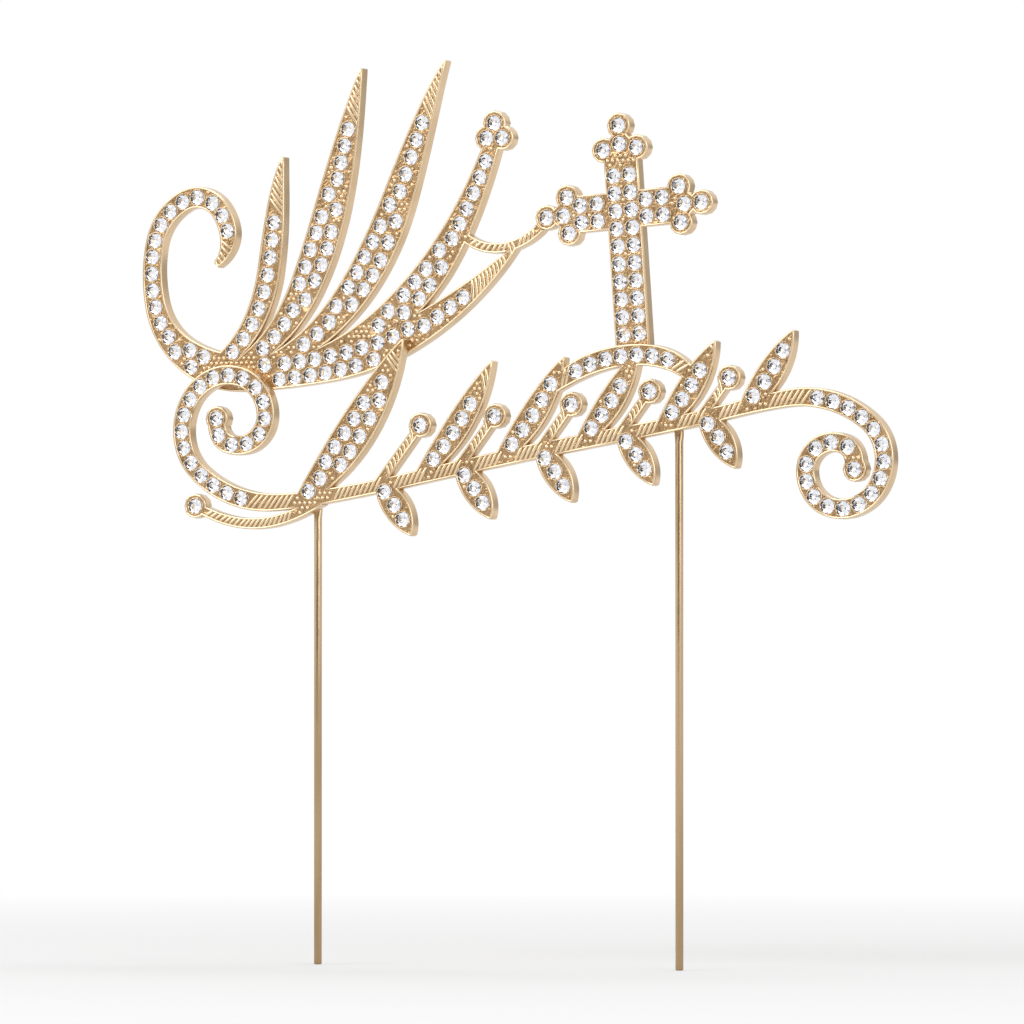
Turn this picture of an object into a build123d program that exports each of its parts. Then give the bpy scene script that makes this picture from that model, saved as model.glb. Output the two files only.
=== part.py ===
from build123d import *
import math
import os

# Cake topper in millimetres, +Z up, facing -Y. The origin lies midway between the two stakes,
# on the cake's surface and in the plane of the stakes' axes.

# The openwork panel
PANEL_WIDTH = 128.0
PANEL_HEIGHT = 71.0
PANEL_LIFT = 39.0
PANEL_LEFT_SHARE = -0.4724

# The two wire stakes
STAKE_SPACING = 60.0
STAKE_DIAMETER = 1.2
STAKE_DEPTH = 27.0

# The flattened tongue at the top of each stake, which laps the branch
TONGUE_LAP = 5.0
TONGUE_WIDTH = 1.5
TONGUE_THICKNESS = 0.8
TONGUE_CORNER = 0.4

# The castings: the branch lies in front, the spray and the cross behind it
CASTING_THICKNESS = 2.0
RIM = 0.35
SOLDER_FILM = 0.15

# The solder beads on the stakes
BEAD_WIDTH = 2.6
BEAD_LENGTH = 3.6
BEAD_HEIGHT = 1.5
BEAD_CORNER = 0.75

# The stones, and the seats that they are set in
STONE_DIAMETER = 2.3
STONE_GAP = 0.3
STONE_SIDES = 6
SEAT_CLEARANCE = 0.03
TABLE_SHARE = 0.58
CROWN_SHARE = 0.2
PAVILION_SHARE = 0.42
SEAT_RISE_SHARE = 0.25

# How the stones are laid out: closest spacing as a share of the row pitch, steps tried for each stone,
# and the row shares of a stroke from which it takes one row of stones and then two
SPACING_SHARE = 0.98
STEPS_PER_STONE = 12
ONE_ROW_SHARE = 0.95
TWO_ROW_SHARE = 1.62

# The ball ends, the berries and the lobes of the bud
BOSS_SIDES = 12
BALL_DIAMETER = 3.8
BUD_STONES = 3

# The cross
CROSS_ARM = 9.9
LOBE_DIAMETER = 3.8
LOBE_REACH = 2.8
LOBE_ANGLE = 105.0

# The leaves along the stem: after the tall one they hang under it and stand over it by turns, and a berry
# on a stalk stands over each hanging leaf
LEAF_COUNT = 12
LEAVES_BETWEEN_STAKES = 9
LEAF_SETBACK = 2.1
TALL_LEAF_LENGTH = 30.0
LAST_LEAF_LENGTH = 14.0
DROP_LENGTH = 9.5

# The volutes at the two ends of the branch
LEFT_VOLUTE_RADIUS = 11.6
RIGHT_VOLUTE_RADIUS = 9.6
VOLUTE_EYE = 3.0
VOLUTE_TURN = 455.0
VOLUTE_STATIONS = 6

# A stroke that turns by less than this share of its chord is drawn straight
STRAIGHT_SHARE = 0.0001

# Widths of the strokes as row shares: 1 for a stroke that is just wide enough for one row of stones
STEM_ROW_SHARE = 0.75
VOLUTE_ROW_SHARE = 1.0
CROSS_ROW_SHARE = 2.0
TALL_LEAF_ROW_SHARE = 2.0
LEAF_ROW_SHARE = 1.35
DROP_ROW_SHARE = 1.4

# Stations of the drawn strokes: share of the panel's width, share of its height, row share
SCROLL_PLUME_SHARES = [
    (0.103, 0.572, 0.3), (0.118, 0.648, 1.0), (0.086, 0.716, 1.1), (0.038, 0.682, 1.1),
    (0.017, 0.560, 1.1), (0.034, 0.432, 1.4), (0.092, 0.352, 2.0), (0.190, 0.340, 1.9),
    (0.300, 0.372, 1.9), (0.410, 0.466, 1.4),
]
SMALL_PLUME_SHARES = [(0.106, 0.358, 0.8), (0.154, 0.450, 1.25), (0.181, 0.670, 1.1), (0.192, 0.800, 0.0)]
TALL_PLUME_SHARES = [
    (0.130, 0.352, 0.6), (0.194, 0.440, 1.5), (0.240, 0.600, 2.05), (0.278, 0.850, 1.2), (0.296, 0.985, 0.0),
]
NEXT_PLUME_SHARES = [
    (0.160, 0.352, 0.6), (0.242, 0.425, 1.5), (0.309, 0.570, 2.05), (0.373, 0.850, 1.2), (0.406, 0.996, 0.0),
]
BUD_STEM_SHARES = [
    (0.188, 0.352, 0.6), (0.285, 0.400, 1.3), (0.368, 0.505, 1.9), (0.426, 0.650, 1.5), (0.466, 0.812, 0.9),
]
TAIL_SHARES = [(0.250, 0.062, 0.5), (0.150, 0.014, 0.5), (0.084, 0.052, 0.4)]
STEM_SHARES = [(0.240, 0.066), (0.515, 0.156), (0.790, 0.245)]
BUD_SHARES = (0.470, 0.838)
TENDRIL_ROOT_SHARES = (0.420, 0.640)
CROSS_SHARES = (0.637, 0.668)
LEFT_VOLUTE_SHARES = (0.136, 0.236)
RIGHT_VOLUTE_SHARES = (0.912, 0.120)

# Stations of a leaf: share of its length, sideways bow as a share of its length, share of its row share
LEAF_SHARES = [(0.0, 0.0, 0.3), (0.3, 0.03, 1.0), (0.72, 0.0, 0.86), (1.0, -0.05, 0.0)]
STALK_SHARES = [(0.0, 0.0, 0.5), (0.5, 0.0, 0.4)]
LEAF_GROWTH_SHARE = 0.6
LEAF_LEAN_SHARE = 0.8

# The tendril hangs from the bud's stem to the cross: share of the way, sag as a share of the way, row share
TENDRIL_SHARES = [(0.0, 0.0, 0.4), (0.35, -0.24, 0.45), (0.68, -0.22, 0.45), (1.0, 0.0, 0.45)]

# The garland arches over the leaf tips: leaf number, lift as a share of a stone's diameter, row share
GARLAND_SHARES = [
    (4.45, -1.9, 0.5), (5.4, -0.5, 1.05), (6.6, 0.0, 1.1), (7.6, -0.5, 1.05), (8.35, -2.0, 0.6),
]

# Sizes that follow from those above
PANEL_LEFT = PANEL_WIDTH * PANEL_LEFT_SHARE
STAKE_RADIUS = STAKE_DIAMETER / 2
ROW_PITCH = STONE_DIAMETER + STONE_GAP
BRANCH_BACK = TONGUE_THICKNESS / 2
FRONT_PLANE = Plane.XZ.offset(BRANCH_BACK)
BACK_PLANE = Plane.XZ.offset(BRANCH_BACK - SOLDER_FILM - CASTING_THICKNESS)


def panel_point(across_share, up_share):
    """A place on the panel, as seen from the front."""
    return Vector(PANEL_LEFT + PANEL_WIDTH * across_share, PANEL_LIFT + PANEL_HEIGHT * up_share)


def panel_stations(shares):
    """Stations of a stroke: a place on the panel, and the row share there."""
    return [(panel_point(across, up), rows) for across, up, rows in shares]


def breadth(rows):
    """Width of a stroke that carries this many rows of stones between its two rims."""
    return 2 * RIM + rows * ROW_PITCH - STONE_GAP


def across(direction):
    """The direction to the left of a direction in the panel."""
    return Vector(-direction.Y, direction.X)


def arc_joint(start, end, leaving, arriving):
    """The point at which two arcs meet that lead smoothly from one point and direction to another."""
    chord = end - start
    along = chord.dot(leaving + arriving)
    spread = 2 * (1 - leaving.dot(arriving))
    if spread < STRAIGHT_SHARE:
        reach = chord.dot(chord) / (2 * along)
    else:
        reach = (math.sqrt(along * along + spread * chord.dot(chord)) - along) / spread
    return (start + end + (leaving - arriving) * reach) / 2


def arc_edge(start, end, leaving):
    """An arc that leaves a point in a direction, and the direction in which it arrives."""
    chord = end - start
    arriving = chord * (2 * leaving.dot(chord) / chord.dot(chord)) - leaving
    if abs(across(leaving).dot(chord)) < STRAIGHT_SHARE * chord.length:
        return Line(start, end), arriving
    return TangentArc(start, end, tangent=leaving), arriving


def smooth_edges(points):
    """A smooth run of arcs through points, two arcs from each to the next."""
    guide = Spline(*points)
    ways = [guide.tangent_at(guide.param_at_point(point)) for point in points]
    edges = []
    for start, end, leaving, arriving in zip(points, points[1:], ways, ways[1:]):
        joint = arc_joint(start, end, leaving, arriving)
        first, onward = arc_edge(start, joint, leaving)
        second, onward = arc_edge(joint, end, onward)
        edges += [first, second]
    return edges


class Stroke:
    """A stroke of the openwork: a smooth centre line and its width at each station."""

    def __init__(self, stations):
        self.points = [point for point, rows in stations]
        self.rows = [rows for point, rows in stations]
        self.line = Spline(*self.points)
        self.marks = [self.line.param_at_point(point) for point in self.points]

    def face(self):
        """The stroke's flat outline, as wide on each side as its rows ask for."""
        left = []
        right = []
        for point, rows, mark in zip(self.points, self.rows, self.marks):
            side = across(self.line.tangent_at(mark)) * (breadth(rows) / 2)
            left.append(point + side)
            right.append(point - side)
        ends = [Line(left[-1], right[-1]), Line(right[0], left[0])]
        return make_face(smooth_edges(left) + smooth_edges(right) + ends)

    def rows_at(self, mark):
        """Rows of stones at a place along the line."""
        for start, end, low, high in zip(self.marks, self.marks[1:], self.rows, self.rows[1:]):
            if start <= mark <= end:
                return low + (high - low) * (mark - start) / (end - start)
        return self.rows[-1]

    def set_stones(self, taken, cover=None):
        """Centres of the stones that fit along the stroke, clear of the stones in taken."""
        steps = math.ceil(self.line.length / ROW_PITCH) * STEPS_PER_STONE
        centres = []
        for step in range(steps + 1):
            mark = step / steps
            rows = self.rows_at(mark)
            if rows < ONE_ROW_SHARE:
                continue
            spread = max(0, breadth(rows) / 2 - RIM - STONE_DIAMETER / 2)
            offsets = [0] if rows < TWO_ROW_SHARE else [spread, -spread]
            place = self.line.position_at(mark)
            side = across(self.line.tangent_at(mark))
            for offset in offsets:
                add_stone(place + side * offset, centres, taken, cover)
        return centres


def add_stone(centre, centres, taken, cover=None):
    """Keep a stone's centre where no stone is in the way and no other casting covers it."""
    spacing = ROW_PITCH * SPACING_SHARE
    if any(math.hypot(centre.X - other.X, centre.Y - other.Y) < spacing for other in taken):
        return
    if cover is not None and cover.distance_to(centre) < STONE_DIAMETER / 2 + RIM:
        return
    taken.append(centre)
    centres.append(centre)


def disc(centre, diameter):
    """A small round boss in the panel, in flats."""
    return Pos(centre.X, centre.Y) * RegularPolygon(diameter / 2, BOSS_SIDES)


def cast(outline, plane):
    """A flat outline of the panel as a casting, standing in front of a plane."""
    return extrude(plane * outline, CASTING_THICKNESS)


def facet_ring(diameter, height):
    """Corners of a stone's six-sided section, at a height above its girdle."""
    corner = Vector(diameter / 2, 0, height)
    return [corner.rotate(Axis.Z, number * 360 / STONE_SIDES) for number in range(STONE_SIDES)]


def faceted(point, rings):
    """A solid of flat facets that rises from a point, through rings of corners, to a flat top."""
    faces = [Face(Wire.make_polygon(rings[-1]))]
    for number in range(STONE_SIDES):
        corners = [ring[number - 1] for ring in rings]
        next_corners = [ring[number] for ring in rings]
        faces.append(Face(Wire.make_polygon([point, corners[0], next_corners[0]])))
        for step in range(1, len(rings)):
            facet = [corners[step - 1], next_corners[step - 1], next_corners[step], corners[step]]
            faces.append(Face(Wire.make_polygon(facet)))
    return Solid(Shell(faces))


def stone():
    """A pointed-back rhinestone: a flat table, a bevelled crown and a pointed pavilion."""
    girdle = facet_ring(STONE_DIAMETER, 0)
    table = facet_ring(STONE_DIAMETER * TABLE_SHARE, STONE_DIAMETER * CROWN_SHARE)
    return faceted(Vector(0, 0, -STONE_DIAMETER * PAVILION_SHARE), [girdle, table])


def seat():
    """The pit that a stone is set in, a little wider than its pavilion and open to the front."""
    diameter = STONE_DIAMETER + 2 * SEAT_CLEARANCE
    depth = diameter * PAVILION_SHARE
    rise = STONE_GAP * SEAT_RISE_SHARE
    return faceted(Vector(0, 0, -depth), [facet_ring(diameter * (depth + rise) / depth, rise)])


def placed(shape, centres, plane):
    """Copies of a shape on the front face of the casting that stands before a plane."""
    front = plane.offset(CASTING_THICKNESS)
    return [front.location * Pos(centre.X, centre.Y) * shape for centre in centres]


def leaf_feet():
    """Feet of the leaves, evenly spaced along the stem so that a leaf stands over each stake."""
    low = panel_point(*STEM_SHARES[0])
    high = panel_point(*STEM_SHARES[-1])
    slope = (high.Y - low.Y) / (high.X - low.X)
    pitch = STAKE_SPACING / LEAVES_BETWEEN_STAKES
    feet = []
    for number in range(LEAF_COUNT):
        across_panel = number * pitch - STAKE_SPACING / 2 - LEAF_SETBACK
        feet.append(Vector(across_panel, low.Y + slope * (across_panel - low.X)))
    return feet


def leaf_length(number):
    """The leaves grow shorter to the right, quickly at first."""
    share = (number / (LEAF_COUNT - 1)) ** LEAF_GROWTH_SHARE
    return TALL_LEAF_LENGTH * (LAST_LEAF_LENGTH / TALL_LEAF_LENGTH) ** share


def leaf_direction(hand=1):
    """The leaves lean to the right. With a hand of -1 they hang."""
    return Vector(LEAF_LEAN_SHARE, hand).normalized()


def leaf(foot, length, shares, rows, hand=1):
    """A stroke that grows from the stem with a gentle bow: a pointed leaf or a berry's stalk."""
    along = leaf_direction(hand) * length
    stations = []
    for along_share, bow_share, rows_share in shares:
        stations.append((foot + along * along_share - across(along) * (hand * bow_share), rows * rows_share))
    return Stroke(stations)


def leaf_tip(number, feet):
    """The tip of a leaf. A number between two leaves gives a place between their tips."""
    low = min(int(number), LEAF_COUNT - 2)
    tips = [feet[k] + leaf_direction() * leaf_length(k) for k in (low, low + 1)]
    return tips[0] + (tips[1] - tips[0]) * (number - low)


def garland(feet):
    """A garland over the leaf tips, on which the cross stands."""
    stations = []
    for number, lift_share, rows in GARLAND_SHARES:
        stations.append((leaf_tip(number, feet) + Vector(0, STONE_DIAMETER * lift_share), rows))
    return Stroke(stations)


def tendril_stations(root, end):
    """A tendril that hangs between two points."""
    way = end - root
    stations = []
    for way_share, sag_share, rows in TENDRIL_SHARES:
        stations.append((root + way * way_share + across(way) * sag_share, rows))
    return stations


def volute_stations(centre, start_radius, hand):
    """A spiral that winds from the stem to its eye: down to the right or, with a hand of -1, up to the left."""
    stations = []
    for step in range(VOLUTE_STATIONS + 1):
        share = step / VOLUTE_STATIONS
        radius = start_radius * (VOLUTE_EYE / start_radius) ** share
        angle = math.radians(VOLUTE_TURN * share)
        stations.append((centre + Vector(math.sin(angle), math.cos(angle)) * (hand * radius), VOLUTE_ROW_SHARE))
    return stations


def cross_frame(foot):
    """The cross's centre, and its upward direction, so that its foot stands on the garland."""
    centre = panel_point(*CROSS_SHARES)
    return centre, (centre - foot).normalized()


def cross_strokes(foot):
    """The stem and the arms of the cross."""
    centre, up = cross_frame(foot)
    side = across(up) * -CROSS_ARM
    stem = Stroke([(point, CROSS_ROW_SHARE) for point in (foot, centre, centre + up * CROSS_ARM)])
    arms = Stroke([(point, CROSS_ROW_SHARE) for point in (centre - side, centre, centre + side)])
    return stem, arms


def cross_lobes(foot):
    """Centres of the top, left and right bud ends, each followed by its three lobes, the outer one first."""
    centre, up = cross_frame(foot)
    lobes = []
    for direction in (up, across(up), across(up) * -1):
        bud = centre + direction * CROSS_ARM
        lobes.append(bud)
        for turn in (0, LOBE_ANGLE, -LOBE_ANGLE):
            lobes.append(bud + direction.rotate(Axis.Z, turn) * LOBE_REACH)
    return lobes


def stem_edge(foot):
    """Height of the stem's lower edge at a leaf's foot."""
    return foot.Y - breadth(STEM_ROW_SHARE) / 2


def stake(place, foot):
    """A straight wire, hammered to a flat tongue where it lies on the back of the branch."""
    shoulder = stem_edge(foot) - TONGUE_WIDTH
    top = stem_edge(foot) + TONGUE_LAP
    wire = Cylinder(STAKE_RADIUS, STAKE_DEPTH + shoulder, align=(Align.CENTER, Align.CENTER, Align.MIN))
    blade = Rectangle(TONGUE_WIDTH, top - shoulder)
    blade = chamfer(blade.vertices().group_by(Axis.Y)[-1], TONGUE_CORNER)
    tongue = extrude(Plane.XZ * blade, TONGUE_THICKNESS / 2, both=True)
    return Pos(place, 0, -STAKE_DEPTH) * wire + Pos(place, 0, (top + shoulder) / 2) * tongue


def stake_solder(place, foot):
    """A bead of solder over the stake's tongue, on the back of the branch."""
    middle = stem_edge(foot) + RIM + BEAD_LENGTH / 2
    outline = chamfer(Rectangle(BEAD_WIDTH, BEAD_LENGTH).vertices(), BEAD_CORNER)
    bead = extrude(Plane.XZ * outline, -BEAD_HEIGHT)
    bead = chamfer(bead.faces().sort_by(Axis.Y)[-1].edges(), BEAD_CORNER)
    return Pos(place, -BRANCH_BACK, middle) * bead - stake(place, foot)


def joint_solder(front, back):
    """The film of solder where a front casting laps one behind it."""
    return extrude(FRONT_PLANE.offset(-SOLDER_FILM) * (front & back), SOLDER_FILM)


def save(name, shape):
    """Write one piece, or one group of like pieces, under its name."""
    export_step(shape, os.path.join("parts", name + ".step"))
    print(name, len(shape.solids()), "solids")


# The branch: a stem between two volutes, with a tail, leaves, berries and a garland
feet = leaf_feet()
standing = range(3, LEAF_COUNT, 2)
hanging = range(2, LEAF_COUNT, 2)
tall_leaf = leaf(feet[0], leaf_length(0), LEAF_SHARES, TALL_LEAF_ROW_SHARE)
leaves = [leaf(feet[number], leaf_length(number), LEAF_SHARES, LEAF_ROW_SHARE) for number in standing]
stalks = [leaf(feet[number], leaf_length(number), STALK_SHARES, 1) for number in hanging]
drops = [leaf(feet[number], DROP_LENGTH, LEAF_SHARES, DROP_ROW_SHARE, -1) for number in hanging]
left_volute = volute_stations(panel_point(*LEFT_VOLUTE_SHARES), LEFT_VOLUTE_RADIUS, -1)
right_volute = volute_stations(panel_point(*RIGHT_VOLUTE_SHARES), RIGHT_VOLUTE_RADIUS, 1)
stem_line = [(panel_point(*shares), STEM_ROW_SHARE) for shares in STEM_SHARES]
stem = Stroke(left_volute[::-1] + stem_line + right_volute)
tail = Stroke(panel_stations(TAIL_SHARES))
arch = garland(feet)
balls = [stem.points[0], stem.points[-1], tail.points[-1]]
berries = [stalk.points[-1] for stalk in stalks]
branch = Sketch() + [stroke.face() for stroke in [stem, tail, arch, tall_leaf] + leaves + stalks + drops]
branch += [disc(centre, BALL_DIAMETER) for centre in balls + berries]

# The cross
arch_top = max(GARLAND_SHARES, key=lambda station: station[1])
cross_foot = leaf_tip(arch_top[0], feet)
cross_stem, cross_arms = cross_strokes(cross_foot)
lobes = cross_lobes(cross_foot)
cross = Sketch() + [cross_stem.face(), cross_arms.face()] + [disc(centre, LOBE_DIAMETER) for centre in lobes]

# The spray: the scroll and its plumes. The tendril is cut where it meets the left lobe of the cross,
# and the scroll's tip grows into it.
left_lobe = lobes[len(lobes) // 3 + 1]
tendril = Stroke(tendril_stations(panel_point(*TENDRIL_ROOT_SHARES), left_lobe))
scroll_plume = Stroke(panel_stations(SCROLL_PLUME_SHARES) + [(tendril.points[2], 0)])
small_plume = Stroke(panel_stations(SMALL_PLUME_SHARES))
tall_plume = Stroke(panel_stations(TALL_PLUME_SHARES))
next_plume = Stroke(panel_stations(NEXT_PLUME_SHARES))
bud_stem = Stroke(panel_stations(BUD_STEM_SHARES))
bud_lobes = []
for number in range(BUD_STONES):
    reach = Vector(0, ROW_PITCH / math.sqrt(BUD_STONES)).rotate(Axis.Z, number * 360 / BUD_STONES)
    bud_lobes.append(panel_point(*BUD_SHARES) + reach)
plumes = [scroll_plume, small_plume, tall_plume, next_plume, bud_stem, tendril]
spray = Sketch() + [stroke.face() for stroke in plumes]
spray += [disc(centre, BALL_DIAMETER) for centre in bud_lobes]
spray -= cross

# Stones of the front casting, then of the two behind it, where the front one leaves them open
taken = []
front_stones = {}
front_stones["ball_stones"] = []
for centre in balls:
    add_stone(centre, front_stones["ball_stones"], taken)
front_stones["berry_stones"] = []
for centre in berries:
    add_stone(centre, front_stones["berry_stones"], taken)
front_stones["tall_leaf_stones"] = tall_leaf.set_stones(taken)
front_stones["garland_stones"] = arch.set_stones(taken)
front_stones["leaf_stones"] = []
for stroke in leaves:
    front_stones["leaf_stones"] += stroke.set_stones(taken)
front_stones["drop_stones"] = []
for stroke in drops:
    front_stones["drop_stones"] += stroke.set_stones(taken)
front_stones["volute_stones"] = stem.set_stones(taken)

taken = []
cross_stones = {}
cross_stones["cross_bud_stones"] = []
for centre in lobes:
    add_stone(centre, cross_stones["cross_bud_stones"], taken, branch)
cross_stones["cross_stem_stones"] = cross_stem.set_stones(taken, branch)
cross_stones["cross_arm_stones"] = cross_arms.set_stones(taken, branch)

taken = []
spray_stones = {}
spray_stones["bud_stones"] = []
for centre in bud_lobes:
    add_stone(centre, spray_stones["bud_stones"], taken)
spray_stones["scroll_plume_stones"] = scroll_plume.set_stones(taken, branch)
spray_stones["small_plume_stones"] = small_plume.set_stones(taken, branch)
spray_stones["tall_plume_stones"] = tall_plume.set_stones(taken, branch)
spray_stones["tall_plume_stones"] += next_plume.set_stones(taken, branch)
spray_stones["bud_stem_stones"] = bud_stem.set_stones(taken, branch)

# Write the pieces
os.makedirs("parts", exist_ok=True)
pit = seat()
chaton = stone()
castings = [
    ("branch_casting", branch, FRONT_PLANE, front_stones),
    ("cross_casting", cross, BACK_PLANE, cross_stones),
    ("spray_casting", spray, BACK_PLANE, spray_stones),
]
for name, outline, plane, groups in castings:
    centres = [centre for group in groups.values() for centre in group]
    save(name, cast(outline, plane) - placed(pit, centres, plane))
    for group, group_centres in groups.items():
        save(group, Compound(children=placed(chaton, group_centres, plane)))

stakes = [("left", -STAKE_SPACING / 2, feet[0]), ("right", STAKE_SPACING / 2, feet[LEAVES_BETWEEN_STAKES])]
for side, place, foot in stakes:
    save(side + "_stake", stake(place, foot))
    save(side + "_stake_solder", stake_solder(place, foot))
save("cross_joint_solder", joint_solder(branch, cross))
save("spray_joint_solder", joint_solder(branch, spray))
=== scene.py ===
# %% [markdown]
# # A gilt cake topper set with rhinestones
# The topper is a flat openwork panel on two wire stakes. Three gold plated castings carry it: a leafy
# branch in front, and a scroll with plumes and a budded cross behind it. Each casting holds rows of
# small clear stones. The CAD model gives the place of every piece, so it is loaded first and never moved.

# %% Load the frame
import math
import random

import bpy
from mathutils import Matrix, Vector
from mathutils.bvhtree import BVHTree
from mathutils.geometry import intersect_point_line


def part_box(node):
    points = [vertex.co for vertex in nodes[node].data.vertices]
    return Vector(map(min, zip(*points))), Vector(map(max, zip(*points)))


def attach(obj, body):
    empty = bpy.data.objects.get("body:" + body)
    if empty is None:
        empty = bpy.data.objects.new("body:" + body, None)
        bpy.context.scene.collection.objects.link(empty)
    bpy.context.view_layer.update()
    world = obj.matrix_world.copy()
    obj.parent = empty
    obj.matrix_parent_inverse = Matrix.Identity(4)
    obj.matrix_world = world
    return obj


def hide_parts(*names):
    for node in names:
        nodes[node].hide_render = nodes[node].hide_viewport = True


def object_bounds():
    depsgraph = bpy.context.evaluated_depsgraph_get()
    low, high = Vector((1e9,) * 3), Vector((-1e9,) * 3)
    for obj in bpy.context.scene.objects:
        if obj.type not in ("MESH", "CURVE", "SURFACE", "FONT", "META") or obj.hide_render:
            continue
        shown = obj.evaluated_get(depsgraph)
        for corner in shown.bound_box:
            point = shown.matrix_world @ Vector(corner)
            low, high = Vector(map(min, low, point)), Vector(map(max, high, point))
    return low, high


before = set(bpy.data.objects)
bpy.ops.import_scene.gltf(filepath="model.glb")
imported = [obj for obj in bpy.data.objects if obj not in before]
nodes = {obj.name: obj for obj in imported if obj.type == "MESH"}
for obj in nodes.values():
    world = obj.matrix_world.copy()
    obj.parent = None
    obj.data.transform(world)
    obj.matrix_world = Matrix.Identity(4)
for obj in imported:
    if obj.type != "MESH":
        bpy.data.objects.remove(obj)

MM = 0.001
cad_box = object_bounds()
dice = random.Random(11)
print("CAD box in mm:", [[round(value / MM, 2) for value in corner] for corner in cad_box])


# %% [markdown]
# Operators act on all that is selected, so each step begins by selecting one object alone. In edit mode the
# faces or edges to work on are picked in code, by a test of their place or normal. A finished piece is hung
# on the topper's root, and the CAD nodes that it stands for are hidden.

# %% Helpers for selecting and handing over
HAIR = 0.01 * MM  # a length too small to matter
WELD = 0.002 * MM  # points nearer than this become one
ACROSS = 0.9  # the least part of its normal along an axis, for a face that lies across that axis


def only(piece):
    """Select one object alone and make it the active one."""
    bpy.ops.object.select_all(action="DESELECT")
    piece.select_set(True)
    bpy.context.view_layer.objects.active = piece


def pick(piece, kind, wanted):
    """Go into edit mode with those faces or edges of the active piece selected that a test wants."""
    bpy.ops.object.mode_set(mode="EDIT")
    bpy.ops.mesh.select_mode(type=kind)
    bpy.ops.mesh.select_all(action="DESELECT")
    bpy.ops.object.mode_set(mode="OBJECT")
    for part in piece.data.polygons if kind == "FACE" else piece.data.edges:
        part.select = wanted(part)
    bpy.ops.object.mode_set(mode="EDIT")


def hand_over(piece, slot, *stands_for):
    """Let a piece ride on the topper and hide the CAD nodes that it stands for. The slot is not used."""
    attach(piece, "root")
    if stands_for:
        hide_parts(*stands_for)
    print(piece.name, len(piece.data.polygons), "faces")


def smooth(piece, degrees):
    """Shade a piece smooth, but keep edges sharper than an angle."""
    only(piece)
    bpy.ops.object.shade_smooth_by_angle(angle=math.radians(degrees))


def add_modifier(piece, kind, **settings):
    """Add a modifier with its settings and apply it at once."""
    only(piece)
    modifier = piece.modifiers.new(kind.lower(), kind)
    for key, value in settings.items():
        setattr(modifier, key, value)
    bpy.ops.object.modifier_apply(modifier=modifier.name)


def keep_inside(piece, node):
    """Draw points that stand out sideways or upwards back to the box of a CAD node."""
    low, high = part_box(node)
    for vertex in piece.data.vertices:
        vertex.co.x = min(max(vertex.co.x, low.x), high.x)
        vertex.co.z = min(max(vertex.co.z, low.z), high.z)


# %% [markdown]
# The finishes come first. Plating over a casting is never one flat colour: it pools a little deeper in
# some places, the skin of the casting is faintly grained, and handling leaves duller patches. One node
# group gives these three as a tone, a gloss and a height, and every gold finish uses it at its own scale.

# %% A node group for the skin of plated metal
FINE_GRAIN = 2600.0


def noise(tree, coords, scale, detail, roughness):
    """A noise texture on given coordinates."""
    node = tree.nodes.new("ShaderNodeTexNoise")
    node.inputs["Scale"].default_value = scale
    node.inputs["Detail"].default_value = detail
    node.inputs["Roughness"].default_value = roughness
    tree.links.new(coords, node.inputs["Vector"])
    return node


def spread(tree, value, low, high, start=0.3, end=0.7):
    """Map a value from one range, by default the usual one of noise, to another."""
    node = tree.nodes.new("ShaderNodeMapRange")
    node.inputs["From Min"].default_value = start
    node.inputs["From Max"].default_value = end
    node.inputs["To Min"].default_value = low
    node.inputs["To Max"].default_value = high
    tree.links.new(value, node.inputs["Value"])
    return node.outputs["Result"]


def new_group(name, inputs, outputs):
    """A shader node group with named sockets."""
    group = bpy.data.node_groups.new(name, "ShaderNodeTree")
    for socket, kind, value in inputs:
        made = group.interface.new_socket(socket, in_out="INPUT", socket_type=kind)
        made.default_value = value
    for socket, kind in outputs:
        group.interface.new_socket(socket, in_out="OUTPUT", socket_type=kind)
    return group, group.nodes.new("NodeGroupInput"), group.nodes.new("NodeGroupOutput")


plated_skin, skin_in, skin_out = new_group(
    "plated_skin",
    [("Stretch", "NodeSocketVector", (1, 1, 1)), ("Grain", "NodeSocketFloat", FINE_GRAIN)],
    [("Tone", "NodeSocketFloat"), ("Gloss", "NodeSocketFloat"), ("Height", "NodeSocketFloat")],
)
skin_coords = plated_skin.nodes.new("ShaderNodeTexCoord")
stretch = plated_skin.nodes.new("ShaderNodeVectorMath")
stretch.operation = "MULTIPLY"
plated_skin.links.new(skin_coords.outputs["Object"], stretch.inputs[0])
plated_skin.links.new(skin_in.outputs["Stretch"], stretch.inputs[1])
pools = noise(plated_skin, stretch.outputs[0], scale=160, detail=3, roughness=0.55)
patches = noise(plated_skin, stretch.outputs[0], scale=420, detail=4, roughness=0.6)
grain = noise(plated_skin, stretch.outputs[0], scale=FINE_GRAIN, detail=2, roughness=0.5)
plated_skin.links.new(skin_in.outputs["Grain"], grain.inputs["Scale"])
plated_skin.links.new(spread(plated_skin, pools.outputs["Fac"], 0, 1), skin_out.inputs["Tone"])
plated_skin.links.new(spread(plated_skin, patches.outputs["Fac"], 0, 1), skin_out.inputs["Gloss"])
plated_skin.links.new(grain.outputs["Fac"], skin_out.inputs["Height"])
print("node group", plated_skin.name)


# %% [markdown]
# Champagne gold is a metal whose colour lies in its reflection, so Metallic is 1 and the gold is the Base
# Color. Tumbling polishes the rims and walls of a casting; the walls are a pale gold, and the rims, smoother
# still, are paler again as a painted highlight. The bed between the stones is as uneven as the mould left it,
# and its deeper orange is painted shade, for the shadow and the mirrored gold between the stones. The back is
# coarser too. The wire is deeper in tone, with a grain along the way it was drawn, and the solder is dull and
# lumpy.

# %% The gold finishes
GRAIN_DEPTH = 0.05 * MM
MOULD_DEPTH = 0.12 * MM


def new_material(name):
    """A material with its node tree and its shader."""
    material = bpy.data.materials.new(name)
    material.use_nodes = True
    return material, material.node_tree, material.node_tree.nodes["Principled BSDF"]


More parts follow.
